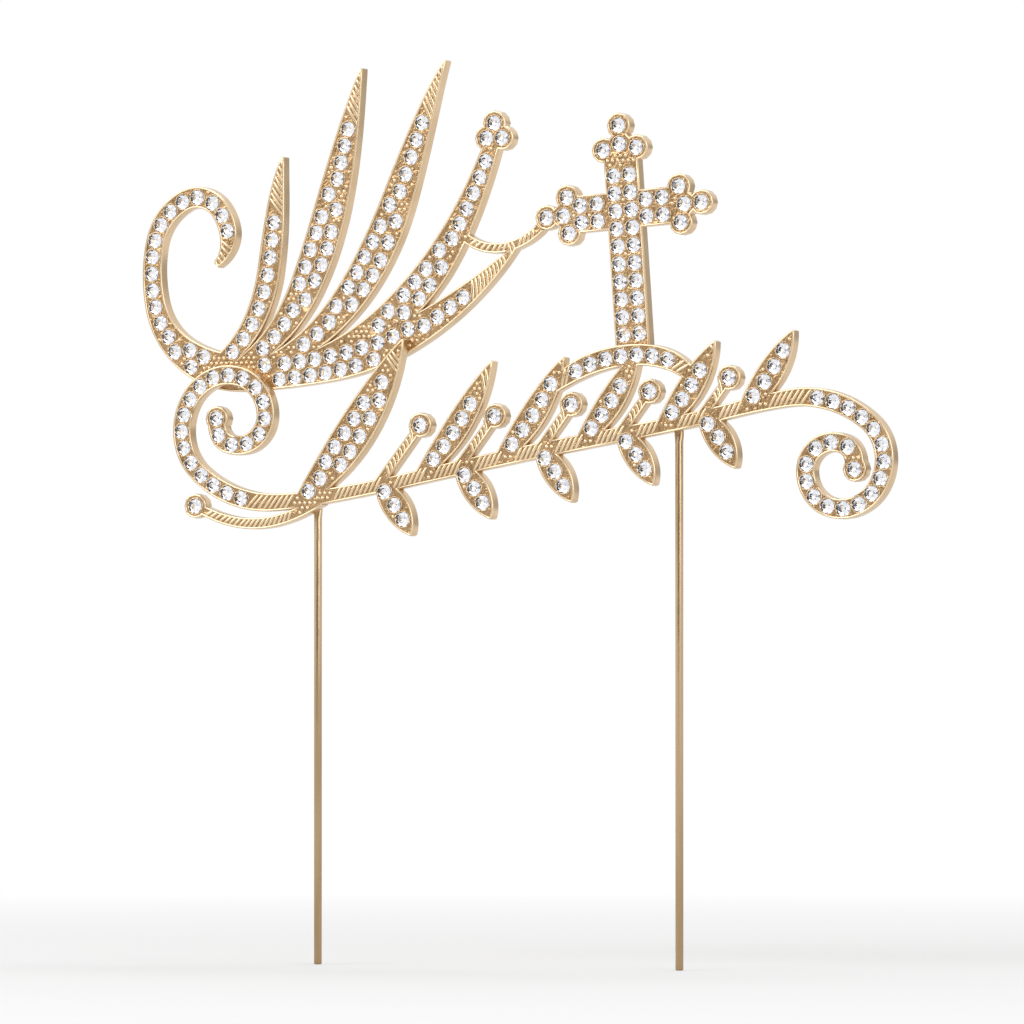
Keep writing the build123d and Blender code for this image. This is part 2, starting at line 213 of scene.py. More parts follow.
def tone_between(tree, share, first, second):
    """A colour between two, by a share that varies over the surface."""
    mix = tree.nodes.new("ShaderNodeMix")
    mix.data_type = "RGBA"
    mix.inputs["A"].default_value = (*first, 1)
    mix.inputs["B"].default_value = (*second, 1)
    tree.links.new(share, mix.inputs["Factor"])
    return mix.outputs["Result"]


def gold(name, pale, deep, gloss, stretch=(1, 1, 1), grain=FINE_GRAIN, relief=0.1, depth=GRAIN_DEPTH):
    """A gold finish between a pale and a deep tone, with a range of roughness and a relief of grain."""
    material, tree, shader = new_material(name)
    shader.inputs["Metallic"].default_value = 1.0
    skin = tree.nodes.new("ShaderNodeGroup")
    skin.node_tree = plated_skin
    skin.inputs["Stretch"].default_value = stretch
    skin.inputs["Grain"].default_value = grain
    tree.links.new(tone_between(tree, skin.outputs["Tone"], pale, deep), shader.inputs["Base Color"])
    roughness = spread(tree, skin.outputs["Gloss"], *gloss, start=0, end=1)
    tree.links.new(roughness, shader.inputs["Roughness"])
    bump = tree.nodes.new("ShaderNodeBump")
    bump.inputs["Strength"].default_value = relief
    bump.inputs["Distance"].default_value = depth
    tree.links.new(skin.outputs["Height"], bump.inputs["Height"])
    tree.links.new(bump.outputs["Normal"], shader.inputs["Normal"])
    return material


cast_gold = gold("cast_gold", (0.75, 0.56, 0.36), (0.63, 0.45, 0.26), (0.18, 0.32), grain=5200.0)
# The bed's deeper orange is painted shade, standing for the shadow and mirrored gold between the stones.
bed_gold_painted_shade = gold(
    "bed_gold_painted_shade", (0.54, 0.36, 0.195), (0.40, 0.245, 0.115), (0.14, 0.3),
    grain=1500.0, relief=1.0, depth=MOULD_DEPTH,
)
back_gold = gold(
    "back_gold", (0.72, 0.53, 0.32), (0.58, 0.40, 0.21), (0.2, 0.38),
    grain=1100.0, relief=0.8, depth=MOULD_DEPTH,
)
# The rims' paler gold is a painted highlight; their low roughness is the polish.
rim_gold_polish_and_highlight = gold("rim_gold_polish_and_highlight", (0.85, 0.69, 0.48), (0.75, 0.58, 0.37), (0.12, 0.22), relief=0.06)
wire_gold = gold(
    "wire_gold", (0.60, 0.44, 0.275), (0.40, 0.275, 0.15), (0.14, 0.28),
    stretch=(1, 1, 0.12), grain=2200.0, relief=0.7,
)
solder_gold = gold(
    "solder_gold", (0.76, 0.60, 0.41), (0.60, 0.43, 0.25), (0.25, 0.5), grain=1400.0, relief=0.4,
)
print([material.name for material in (cast_gold, bed_gold_painted_shade, back_gold, rim_gold_polish_and_highlight, wire_gold, solder_gold)])


# %% [markdown]
# A rhinestone is clear glass with a silver foil on its back, which throws the light out again through the
# front. So the crown is glass, and the facets of the back are a mirror. A faint film from handling changes
# the gloss of the glass from place to place.

# %% The stone finishes
CRYSTAL_IOR = 1.56


def crystal_glass():
    """Clear cut glass with a trace of film on its facets."""
    material, tree, shader = new_material("crystal_glass")
    shader.inputs["Transmission Weight"].default_value = 1.0
    shader.inputs["IOR"].default_value = CRYSTAL_IOR
    coords = tree.nodes.new("ShaderNodeTexCoord")
    film = noise(tree, coords.outputs["Object"], scale=300, detail=3, roughness=0.6).outputs["Fac"]
    tree.links.new(spread(tree, film, 0.0, 0.03), shader.inputs["Roughness"])
    tint = tone_between(tree, film, (1.0, 1.0, 1.0), (0.98, 0.985, 1.0))
    tree.links.new(tint, shader.inputs["Base Color"])
    return material


def silver_foil():
    """The mirror on the back of a stone, a little cloudy in places."""
    material, tree, shader = new_material("silver_foil")
    shader.inputs["Metallic"].default_value = 1.0
    coords = tree.nodes.new("ShaderNodeTexCoord")
    cloud = noise(tree, coords.outputs["Object"], scale=900, detail=2, roughness=0.5).outputs["Fac"]
    tree.links.new(spread(tree, cloud, 0.02, 0.08), shader.inputs["Roughness"])
    tone = tone_between(tree, cloud, (0.99, 0.99, 1.0), (0.94, 0.94, 0.96))
    tree.links.new(tone, shader.inputs["Base Color"])
    return material


glass = crystal_glass()
foil = silver_foil()
print([material.name for material in (glass, foil)])


# %% [markdown]
# Each CAD stone comes to a point at its back, and in one group all these points lie in one plane. So the
# deepest points of a group, each taken once, give the centres of its stones.

# %% Find the stones
stone_groups = {
    "branch": [
        "ball_stones", "berry_stones", "drop_stones", "tall_leaf_stones",
        "garland_stones", "leaf_stones", "volute_stones",
    ],
    "cross": ["cross_bud_stones", "cross_stem_stones", "cross_arm_stones"],
    "spray": [
        "bud_stones", "scroll_plume_stones", "small_plume_stones", "tall_plume_stones", "bud_stem_stones",
    ],
}


def stone_centres(node):
    """Places of a group's stones across and up the panel."""
    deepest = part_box(node)[1].y
    found = {}
    for vertex in nodes[node].data.vertices:
        if deepest - vertex.co.y < HAIR:
            found[(round(vertex.co.x / MM, 2), round(vertex.co.z / MM, 2))] = vertex.co
    return [Vector((co.x, 0, co.z)) for co in found.values()]


centres = {node: stone_centres(node) for group in stone_groups.values() for node in group}
casting_stones = {
    name: [place for node in group for place in centres[node]] for name, group in stone_groups.items()
}
print({name: len(stones) for name, stones in casting_stones.items()}, "stones in", len(centres), "groups")


# %% [markdown]
# A casting keeps the outline and the seats of its CAD solid. The solid's edges are sharp, and no casting
# comes out of tumbling and plating like that, so a copy of its mesh is merged, and the edges where its
# front and back meet its walls are rounded over with a bevel. The many triangles of the flat faces would fold
# over under a bevel, so they are dissolved into larger faces first. What faces forward is the stones' bed.
# Normals weighted by area keep the flat faces flat in the light, up to their rounded edges.

# %% The three casting bodies
EDGE = 0.18 * MM
SLIVER = 0.001 * MM
ONE_PLANE = math.radians(0.5)

# Limits for the part of a face's normal that points through the panel, from front to back
FLAT = 0.99
WALL = 0.05
BED = -0.6
FOLDED = -0.2


def edge_faces(mesh):
    """The numbers of the faces at each edge of a mesh."""
    faces = {}
    for polygon in mesh.polygons:
        for key in polygon.edge_keys:
            faces.setdefault(key, []).append(polygon.index)
    return faces


def weigh_outline(mesh):
    """Give the edges between a flat face and a wall a bevel weight of one, and the others none."""
    flat = {polygon.index for polygon in mesh.polygons if abs(polygon.normal.y) > FLAT}
    wall = {polygon.index for polygon in mesh.polygons if abs(polygon.normal.y) < WALL}
    faces = edge_faces(mesh)
    weights = mesh.attributes.new("bevel_weight_edge", "FLOAT", "EDGE")
    for edge in mesh.edges:
        pair = set(faces.get(edge.key, []))
        weights.data[edge.index].value = 1.0 if len(pair) == 2 and pair & flat and pair & wall else 0.0


def unfold(body):
    """Draw together the few small faces that a bevel has folded over in a tight notch."""
    depths = [vertex.co.y for vertex in body.data.vertices]
    middle = (min(depths) + max(depths)) / 2
    only(body)
    pick(body, "FACE", lambda face: face.normal.y * (1 if face.center.y > middle else -1) < FOLDED)
    bpy.ops.mesh.merge(type="COLLAPSE")
    bpy.ops.mesh.select_all(action="SELECT")
    bpy.ops.mesh.dissolve_degenerate(threshold=SLIVER)
    bpy.ops.object.mode_set(mode="OBJECT")


def casting_body(name):
    """A copy of a casting's CAD mesh, with its outline rounded over."""
    mesh = nodes[name + "_casting"].data.copy()
    body = bpy.data.objects.new(name + "_body", mesh)
    bpy.context.collection.objects.link(body)
    only(body)
    bpy.ops.object.mode_set(mode="EDIT")
    bpy.ops.mesh.select_all(action="SELECT")
    bpy.ops.mesh.remove_doubles(threshold=WELD)
    bpy.ops.mesh.dissolve_limited(angle_limit=ONE_PLANE)
    bpy.ops.object.mode_set(mode="OBJECT")
    weigh_outline(mesh)
    add_modifier(
        body, "BEVEL", limit_method="WEIGHT", width=EDGE, segments=2, use_clamp_overlap=False,
        miter_outer="MITER_ARC", spread=0.3 * EDGE,
    )
    unfold(body)
    mesh.materials.clear()
    for finish in (cast_gold, bed_gold_painted_shade, back_gold):
        mesh.materials.append(finish)
    # Faces that look forward take the bed gold, painted darker as shade between the stones; the back and the
    # walls take their own gold.
    for polygon in mesh.polygons:
        polygon.material_index = 1 if polygon.normal.y < BED else 2 if polygon.normal.y > ACROSS else 0
    keep_inside(body, name + "_casting")
    smooth(body, 35)
    add_modifier(body, "WEIGHTED_NORMAL", keep_sharp=True, weight=60)
    hand_over(body, "gold_casting", name + "_casting")
    return body


bodies = {name: casting_body(name) for name in stone_groups}


# %% [markdown]
# A rim runs along both edges of every stroke and frames the stones; its bright, paler gold is a painted
# highlight. It follows the inner line of the rounding: those edges are picked by their faces, lifted off as a
# separate object, turned into a curve and given a round section. The edges of the stones' seats are left out.

# %% The rims
SEAT_REACH = 1.1 * MM
DEAD_FLAT = 0.995


def near(place, others, reach):
    """Whether a place lies within reach of another one, seen from the front."""
    return any(math.hypot(place.x - other.x, place.z - other.z) < reach for other in others)


def front_of(body):
    """Depth of a casting's front face."""
    return min(vertex.co.y for vertex in body.data.vertices)


def rim_edges(name):
    """Numbers of the edges where a casting's flat front meets its rounding."""
    mesh = bodies[name].data
    front = front_of(bodies[name])
    faces = edge_faces(mesh)
    kept = set()
    for edge in mesh.edges:
        ends = [mesh.vertices[number].co for number in edge.vertices]
        normals = sorted(mesh.polygons[number].normal.y for number in faces.get(edge.key, []))
        if any(end.y > front + HAIR for end in ends) or len(normals) != 2:
            continue
        if normals[0] > -FLAT or normals[1] < -DEAD_FLAT:
            continue
        if not near((ends[0] + ends[1]) / 2, casting_stones[name], SEAT_REACH):
            kept.add(edge.index)
    return kept


def casting_rim(name):
    """A round wire along the outline of a casting's front, and the lines that it follows."""
    body = bodies[name]
    kept = rim_edges(name)
    only(body)
    pick(body, "EDGE", lambda edge: edge.index in kept)
    bpy.ops.mesh.duplicate()
    bpy.ops.mesh.separate(type="SELECTED")
    bpy.ops.object.mode_set(mode="OBJECT")
    rim = [piece for piece in bpy.context.selected_objects if piece != body][0]
    rim.name = name + "_rim"
    only(rim)
    bpy.ops.object.convert(target="CURVE")
    lines = []
    for spline in rim.data.splines:
        points = [Vector(point.co[:3]) for point in spline.points]
        lines.append(points + points[:1] if spline.use_cyclic_u else points)
    rim.data.bevel_depth = EDGE
    rim.data.bevel_resolution = 2
    rim.data.use_fill_caps = True
    bpy.ops.object.convert(target="MESH")
    keep_inside(rim, name + "_casting")
    rim.data.materials.clear()
    rim.data.materials.append(rim_gold_polish_and_highlight)
    bpy.ops.object.shade_smooth()
    hand_over(rim, "gold_casting")
    return lines


rim_lines = {name: casting_rim(name) for name in bodies}
print({name: len(lines) for name, lines in rim_lines.items()}, "rim lines")


# %% [markdown]
# What repeats is modelled once. A master shape is copied to every place as a mesh of its own, and the
# copies of one group are joined into one piece.

# %% Copy a master shape
FACING = Matrix.Rotation(math.radians(90), 4, "X")


def copies(master, frames, name):
    """One object of copies of a master mesh, each placed by a matrix."""
    bpy.ops.object.select_all(action="DESELECT")
    made = []
    for place in frames:
        mesh = master.data.copy()
        mesh.transform(place)
        piece = bpy.data.objects.new(name, mesh)
        bpy.context.collection.objects.link(piece)
        piece.select_set(True)
        made.append(piece)
    bpy.context.view_layer.objects.active = made[0]
    bpy.ops.object.join()
    made[0].name = name
    return made[0]


def put_away(master):
    """Delete a master shape once its copies are made."""
    bpy.data.objects.remove(master)


# %% [markdown]
# The stone is a chaton cut: a flat table, a sloping crown and a pointed back. It starts as a cone with
# eight sides whose tip is cut off, and the wide end is drawn out to a point for the back. Then every sloping
# edge of the crown is bevelled, which gives the narrow facets between the wide ones.

# %% Cut one stone
STONE_SIDES = 8
STONE_RADIUS = 1.19 * MM
TABLE_RADIUS = 0.68 * MM
CROWN_HEIGHT = 0.28 * MM
STONE_DEPTH = 0.93 * MM
FACET_WIDTH = 0.26 * MM
FOIL_SLOPE = -0.05


def sloping(edge):
    """Whether an edge runs up the crown, from the girdle to the table."""
    low, high = sorted(stone.data.vertices[number].co.z for number in edge.vertices)
    return low > -HAIR and high - low > CROWN_HEIGHT / 2


bpy.ops.object.select_all(action="DESELECT")
bpy.ops.mesh.primitive_cone_add(
    vertices=STONE_SIDES, radius1=STONE_RADIUS, radius2=TABLE_RADIUS, depth=CROWN_HEIGHT,
    location=(0, 0, CROWN_HEIGHT / 2), end_fill_type="NGON",
)
stone = bpy.context.object
bpy.ops.object.transform_apply(location=True)
pick(stone, "FACE", lambda face: face.normal.z < -ACROSS)
bpy.ops.mesh.extrude_region_move(TRANSFORM_OT_translate={"value": (0, 0, -STONE_DEPTH)})
bpy.ops.mesh.merge(type="CENTER")
pick(stone, "EDGE", sloping)
bpy.ops.mesh.bevel(offset=FACET_WIDTH, segments=1, affect="EDGES")
bpy.ops.mesh.select_all(action="SELECT")
bpy.ops.mesh.remove_doubles(threshold=WELD)
bpy.ops.mesh.normals_make_consistent(inside=False)
bpy.ops.object.mode_set(mode="OBJECT")
stone.data.materials.clear()
stone.data.materials.append(glass)
stone.data.materials.append(foil)
for polygon in stone.data.polygons:
    polygon.material_index = 1 if polygon.normal.z < FOIL_SLOPE else 0
print("stone of", len(stone.data.polygons), "facets")


# %% [markdown]
# The stones are set by hand, so none sits quite like its neighbour. Each copy is spun at random about its
# axis and leans by a degree or two, which makes the rows glitter.

# %% Set the stones
LEAN = math.radians(2.0)
GIRDLE_LIFT = 1.09 * MM


def stone_frames(node):
    """Places and turns of a group's stones, whose girdles clear the bed by a little."""
    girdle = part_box(node)[1].y - GIRDLE_LIFT
    frames = []
    for centre in centres[node]:
        place = Matrix.Translation((centre.x, girdle, centre.z))
        lean = Matrix.Rotation(dice.uniform(-LEAN, LEAN), 4, "X")
        lean @= Matrix.Rotation(dice.uniform(-LEAN, LEAN), 4, "Z")
        spin = Matrix.Rotation(dice.uniform(0, math.tau), 4, "Z")
        frames.append(place @ lean @ FACING @ spin)
    return frames


for node in centres:
    crystals = copies(stone, stone_frames(node), node.replace("_stones", "_crystals"))
    hand_over(crystals, "crystal", node)
put_away(stone)


# %% [markdown]
# The metal stands up in a low ring round each stone and is pushed over its edge in four little beads. One
# setting is a narrow ring, drawn up from a circle of twelve points, with a bead at each quarter.

# %% Make one setting
COLLAR_POINTS = 12
COLLAR_OUTER = 1.33 * MM
COLLAR_HEIGHT = 0.12 * MM
COLLAR_STEPS = ((COLLAR_HEIGHT, 0.96), (0, 0.955), (-1.5 * COLLAR_HEIGHT, 0.987))  # rise, then width
BEAD_RADIUS = 0.17 * MM
BEAD_RING = 1.24 * MM
BEAD_LIFT = 0.12 * MM

bpy.ops.object.select_all(action="DESELECT")
bpy.ops.mesh.primitive_circle_add(vertices=COLLAR_POINTS, radius=COLLAR_OUTER, fill_type="NOTHING")
setting = bpy.context.object
bpy.ops.object.mode_set(mode="EDIT")
for rise, shrink in COLLAR_STEPS:
    bpy.ops.mesh.extrude_region_move(TRANSFORM_OT_translate={"value": (0, 0, rise)})
    bpy.ops.transform.resize(value=(shrink, shrink, 1), center_override=(0, 0, 0))
bpy.ops.mesh.select_all(action="DESELECT")
bpy.ops.mesh.select_mode(type="EDGE")
bpy.ops.mesh.select_non_manifold()
bpy.ops.mesh.bridge_edge_loops()
bpy.ops.mesh.select_all(action="SELECT")
bpy.ops.mesh.normals_make_consistent(inside=False)
bpy.ops.object.mode_set(mode="OBJECT")
setting.data.materials.append(rim_gold_polish_and_highlight)
for quarter in range(4):
    turn = math.radians(45 + 90 * quarter)
    bpy.ops.mesh.primitive_uv_sphere_add(
        segments=4, ring_count=2, radius=BEAD_RADIUS,
        location=(BEAD_RING * math.cos(turn), BEAD_RING * math.sin(turn), BEAD_LIFT),
    )
    bead = bpy.context.object
    bead.data.materials.append(rim_gold_polish_and_highlight)
    bead.select_set(True)
    setting.select_set(True)
    bpy.context.view_layer.objects.active = setting
    bpy.ops.object.join()
bpy.ops.object.shade_smooth()
print("setting of", len(setting.data.polygons), "faces")


# %% [markdown]
# Every stone gets its setting on the front face of its casting. The settings are turned by different angles,
# so the beads of neighbours don't line up, as on hand work.

# %% Set it round every stone
SETTING_TURNS = (0.0, 0.4, 0.8)

for name, stones in casting_stones.items():
    front = front_of(bodies[name])
    frames = []
    for centre in stones:
        spin = Matrix.Rotation(dice.choice(SETTING_TURNS), 4, "Z")
        frames.append(Matrix.Translation((centre.x, front, centre.z)) @ FACING @ spin)
    hand_over(copies(setting, frames, name + "_settings"), "gold_casting")
put_away(setting)


# %% [markdown]
# Where a stroke is too thin for stones, it is worked like a rope, with slanting ridges. One ridge is a ball
# laid on its side, so that its poles lie at the ridge's ends. Each copy is stretched to its own length.

# %% Make one rope ridge
bpy.ops.object.select_all(action="DESELECT")
bpy.ops.mesh.primitive_uv_sphere_add(segments=8, ring_count=6, radius=1)
ridge = bpy.context.object
bpy.ops.object.mode_set(mode="EDIT")
bpy.ops.mesh.select_all(action="SELECT")
bpy.ops.transform.rotate(value=math.radians(90), orient_axis="Y", center_override=(0, 0, 0))
bpy.ops.object.mode_set(mode="OBJECT")
ridge.data.materials.append(rim_gold_polish_and_highlight)
bpy.ops.object.shade_smooth()
print("ridge of", len(ridge.data.polygons), "faces")


# %% [markdown]
# On the branch's straight stem the ridges follow its middle line. Elsewhere the places come from the rim: at
# even steps along it a ray is sent slantwise across the stroke, and where it soon meets the far wall, a ridge
# may be laid from wall to wall.

# %% Look across the thin strokes
ROPE_PITCH = 0.85 * MM
ROPE_SLANT = math.radians(38)
ROPE_SPAN = 4.2 * MM
STEM_FROM = Vector((-25.5 * MM, 0, 44.46 * MM))
STEM_TO = Vector((41.0 * MM, 0, 56.47 * MM))
STEM_HALF = 1.45 * MM
STEM_REACH = 1.6 * MM
STEP_IN = 0.02 * MM

depsgraph = bpy.context.evaluated_depsgraph_get()
trees = {name: BVHTree.FromObject(body, depsgraph) for name, body in bodies.items()}


def even_steps(line, step):
    """Points at even steps along a line."""
    left = 0.0
    for start, end in zip(line, line[1:]):
        length = (end - start).length
        while left < length:
            yield start.lerp(end, left / length)
            left += step
        left -= length


def slantwise(across):
    """The way of a ridge, given the way straight across its stroke."""
    return Matrix.Rotation(ROPE_SLANT, 3, "Y") @ across


def stem_spans(tree, depth):
    """Both ends of the ridges along the branch's stem, which stop at its walls."""
    along = (STEM_TO - STEM_FROM).normalized()
    way = slantwise(Vector((-along.z, 0, along.x)))
    for spot in even_steps([STEM_FROM, STEM_TO], ROPE_PITCH):
        middle = Vector((spot.x, depth, spot.z))
        ends = []
        for hand in (-1, 1):
            wall = tree.ray_cast(middle, way * hand)[3]
            ends.append(middle + way * hand * min(STEM_HALF, wall))
        yield ends


def on_stem(place):
    """Whether a place lies on the branch's stem, where the ridges follow its middle line."""
    nearest, share = intersect_point_line(Vector((place.x, 0, place.z)), STEM_FROM, STEM_TO)
    return 0 < share < 1 and near(place, [nearest], STEM_REACH)


def rim_spans(lines, tree, depth):
    """Both ends of the ridges from wall to wall along the rims."""
    for line in lines:
        for spot in even_steps(line, ROPE_PITCH):
            wall, normal, _, _ = tree.find_nearest(Vector((spot.x, depth, spot.z)))
            inward = Vector((-normal.x, 0, -normal.z)).normalized()
            start = wall + inward * STEP_IN
            far = tree.ray_cast(start, slantwise(inward))[0]
            if far is not None and (far - start).length < ROPE_SPAN:
                yield start, far


print("stem of", round((STEM_TO - STEM_FROM).length / MM, 1), "mm")


# %% [markdown]
# No ridge comes near a stone or another ridge, or lies where a casting laps behind the branch. One that has
# no neighbour of its own slant would look like a flaw in the casting, so it is left out too.

# %% Lay the rope ridges
WALL_DEPTH = 1.0 * MM
RIDGE_HALF_WIDTH = 0.27 * MM
RIDGE_HEIGHT = 0.2 * MM
RIDGE_FROM_STONE = 1.4 * MM
RIDGE_APART = 0.8 * ROPE_PITCH
RIDGE_BESIDE = 1.4 * ROPE_PITCH
SAME_SLANT = 0.95
FORWARD = Vector((0, -1, 0))
INTO_PANEL = Vector((0, 1, 0))

worked = {name: [] for name in bodies}


def covered(name, place):
    """Whether a place on a casting is hidden where it laps behind the branch."""
    if name == "branch":
        return False
    return trees["branch"].ray_cast(Vector((place.x, -1, place.z)), INTO_PANEL)[0] is not None


def clear_ridges(name):
    """Middle, way and half length of the ridges that keep clear of stones, laps and each other."""
    tree = trees[name]
    depth = front_of(bodies[name]) + WALL_DEPTH
    spans = list(stem_spans(tree, depth)) if name == "branch" else []
    for start, far in rim_spans(rim_lines[name], tree, depth):
        if name != "branch" or not on_stem((start + far) / 2):
            spans.append((start, far))
    laid = []
    for start, far in spans:
        middle = (start + far) / 2
        places = (start, middle, far)
        if any(near(place, casting_stones[name], RIDGE_FROM_STONE) for place in places):
            continue
        if any(covered(name, place) for place in places):
            continue
        if not near(middle, [other for other, _, _ in laid], RIDGE_APART):
            laid.append((middle, (far - start).normalized(), (far - start).length / 2))
    return laid


def rope_frames(name):
    """Places and sizes of a casting's ridges, each with a neighbour of its own slant."""
    front = front_of(bodies[name])
    laid = clear_ridges(name)
    frames = []
    for middle, way, half in laid:
        beside = [turn for other, turn, _ in laid if near(middle, [other], RIDGE_BESIDE)]
        alike = sum(abs(way.dot(turn)) > SAME_SLANT for turn in beside)
        if alike < 2:  # a ridge counts itself
            continue
        turn = Matrix((way, FORWARD.cross(way), FORWARD)).transposed().to_4x4()
        size = Matrix.Diagonal((half, RIDGE_HALF_WIDTH, RIDGE_HEIGHT, 1))
        frames.append(Matrix.Translation((middle.x, front, middle.z)) @ turn @ size)
        worked[name] += [middle - way * half, middle, middle + way * half]
    return frames


for name in bodies:
    ridges = rope_frames(name)
    if ridges:
        rope = copies(ridge, ridges, name + "_rope_ridges")
        keep_inside(rope, name + "_casting")
        hand_over(rope, "gold_casting")
put_away(ridge)


# %% [markdown]
# Some of the bed stays bare, where strokes run together or no further stone finds room. There a setter raises
# small grains from the metal, so that no dull patch shows among the stones. A grain is a low ball, and its
# places are the points of a net that lie clear of the walls, the stones and the ridges.

# %% Raise the grains
GRAIN_PITCH = 0.85 * MM
GRAIN_RADIUS = 0.3 * MM
GRAIN_FLATTENED = 0.7
GRAIN_ROOT = 0.05 * MM
GRAIN_FROM_WALL = 0.7 * MM
GRAIN_FROM_STONE = 1.65 * MM
GRAIN_FROM_RIDGE = 0.9 * MM

bpy.ops.object.select_all(action="DESELECT")
bpy.ops.mesh.primitive_ico_sphere_add(subdivisions=2, radius=GRAIN_RADIUS)
seed = bpy.context.object
bpy.ops.object.mode_set(mode="EDIT")
bpy.ops.mesh.select_all(action="SELECT")
bpy.ops.transform.resize(value=(1, GRAIN_FLATTENED, 1), center_override=(0, 0, 0))
bpy.ops.mesh.bisect(plane_co=(0, GRAIN_ROOT, 0), plane_no=(0, 1, 0), use_fill=True, clear_outer=True)
bpy.ops.object.mode_set(mode="OBJECT")
seed.data.materials.append(rim_gold_polish_and_highlight)
bpy.ops.object.shade_smooth()


def bare(name, place):
    """Whether a place on a casting's front is flat bed, clear of walls, stones, ridges and laps."""
    tree = trees[name]
    hit, normal, _, _ = tree.ray_cast(place - INTO_PANEL * MM, INTO_PANEL, MM + HAIR)
    if hit is None or normal.y > -FLAT or covered(name, place):
        return False
    if tree.find_nearest(place + INTO_PANEL * MM)[3] < GRAIN_FROM_WALL:
        return False
    return not (
        near(place, casting_stones[name], GRAIN_FROM_STONE) or near(place, worked[name], GRAIN_FROM_RIDGE)
    )


def grain_frames(name):
    """Places for grains on the bare bed of a casting."""
    front = front_of(bodies[name])
    low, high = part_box(name + "_casting")
    row = GRAIN_PITCH * math.sqrt(3) / 2
    frames = []
    for line in range(int((high.z - low.z) / row)):
        for step in range(int((high.x - low.x) / GRAIN_PITCH)):
            place = Vector((low.x + (step + line % 2 / 2) * GRAIN_PITCH, front, low.z + line * row))
            if bare(name, place):
                frames.append(Matrix.Translation(place))
    return frames


for name in bodies:
    grains = grain_frames(name)
    if grains:
        hand_over(copies(seed, grains, name + "_grains"), "gold_casting")
put_away(seed)


# %% [markdown]
# A stake is a length of drawn wire. Its top is hammered to a flat tongue that lies on the back of the branch.
# The wire starts as a cylinder up to its shoulder. Its top face is then drawn up and squeezed, which gives
# the run of the hammering, drawn up again for the tongue, and both ends are rounded off.

# %% Draw the stakes
WIRE_SIDES = 20
TONGUE_RISE = 1.4 * MM
TONGUE_HALF = 0.4 * MM
END_ROUNDING = 0.22 * MM


def draw_stake(side):
    """One wire stake, inside the box of its CAD solid."""
    low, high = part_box(side + "_stake")
    centre = (low.x + high.x) / 2
    radius = (high.y - low.y) / 2
    width = (high.x - low.x) / 2
    points = [vertex.co for vertex in nodes[side + "_stake"].data.vertices]
    shoulder = min(point.z for point in points if point.x > centre + radius + HAIR)
    bpy.ops.object.select_all(action="DESELECT")
    bpy.ops.mesh.primitive_cylinder_add(
        vertices=WIRE_SIDES, radius=radius, depth=shoulder - low.z,
        location=(centre, 0, (shoulder + low.z) / 2),
    )
    wire = bpy.context.object
    wire.name = side + "_wire"
    bpy.ops.object.transform_apply(location=True)
    pick(wire, "FACE", lambda face: face.normal.z > ACROSS)
    bpy.ops.mesh.extrude_region_move(TRANSFORM_OT_translate={"value": (0, 0, TONGUE_RISE)})
    bpy.ops.transform.resize(
        value=(width / radius, TONGUE_HALF / radius, 1), center_override=(centre, 0, shoulder + TONGUE_RISE),
    )
    tongue = high.z - shoulder - TONGUE_RISE
    bpy.ops.mesh.extrude_region_move(TRANSFORM_OT_translate={"value": (0, 0, tongue)})
    pick(wire, "FACE", lambda face: abs(face.normal.z) > ACROSS)
    bpy.ops.mesh.region_to_loop()
    bpy.ops.mesh.bevel(offset=END_ROUNDING, segments=3, affect="EDGES")
    bpy.ops.object.mode_set(mode="OBJECT")
    wire.data.materials.append(wire_gold)
    smooth(wire, 50)
    hand_over(wire, "gold_wire", side + "_stake")


for side in ("left", "right"):
    draw_stake(side)


# %% [markdown]
# A bead of solder holds each tongue to the branch. Molten solder draws itself up into a smooth mound with
# small unevenness, so a ball is shaken a little at its points, stretched to the size of the CAD bead, cut off
# flat where it lies on the branch and smoothed.

# %% Run the solder beads
MOUND_SHAKE = 0.12
MOUND_SEEDS = {"left": 5, "right": 9}
MOUND_SHARES = (0.46, 0.9, 0.46)


def solder_bead(side):
    """A mound of solder over a stake's tongue."""
    low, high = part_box(side + "_stake_solder")
    stretched = tuple(share * length for share, length in zip(MOUND_SHARES, high - low))
    middle = ((low.x + high.x) / 2, low.y, (low.z + high.z) / 2)
    bpy.ops.object.select_all(action="DESELECT")
    bpy.ops.mesh.primitive_uv_sphere_add(segments=16, ring_count=10, radius=1, location=(0, 0, 0))
    bead = bpy.context.object
    bead.name = side + "_solder_bead"
    bpy.ops.object.mode_set(mode="EDIT")
    bpy.ops.mesh.select_all(action="SELECT")
    bpy.ops.transform.vertex_random(offset=MOUND_SHAKE, uniform=0.4, seed=MOUND_SEEDS[side])
    bpy.ops.transform.resize(value=stretched, center_override=(0, 0, 0))
    bpy.ops.transform.translate(value=middle)
    bpy.ops.mesh.bisect(plane_co=middle, plane_no=(0, 1, 0), use_fill=True, clear_inner=True)
    bpy.ops.object.mode_set(mode="OBJECT")
    add_modifier(bead, "SUBSURF", levels=2, render_levels=2)
    bead.data.materials.append(solder_gold)
    bpy.ops.object.shade_smooth()
    hand_over(bead, "gold_solder", side + "_stake_solder")


for side in MOUND_SEEDS:
    solder_bead(side)


# %% [markdown]
# The films of solder between the castings lie almost hidden. Their CAD solids have the right shape, so they
# stay and only take the solder's finish.

# %% Finish the solder films
for node in ("cross_joint_solder", "spray_joint_solder"):
    nodes[node].data.materials.clear()
    nodes[node].data.materials.append(solder_gold)
    print(node, "keeps its CAD solid")


# %% [markdown]
# The stage is a plain white floor at the tips of the stakes. Near the topper the floor is plainly lit and
# keeps its shadow. Further off it fades into the white of the backdrop, so no line crosses the picture. The
# fading is only for the eye, and for what metal and glass mirror: it throws no light on the topper.

# %% Floor
FLOOR_SIZE = 6
FADE_FROM = 0.06
FADE_TO = 0.4


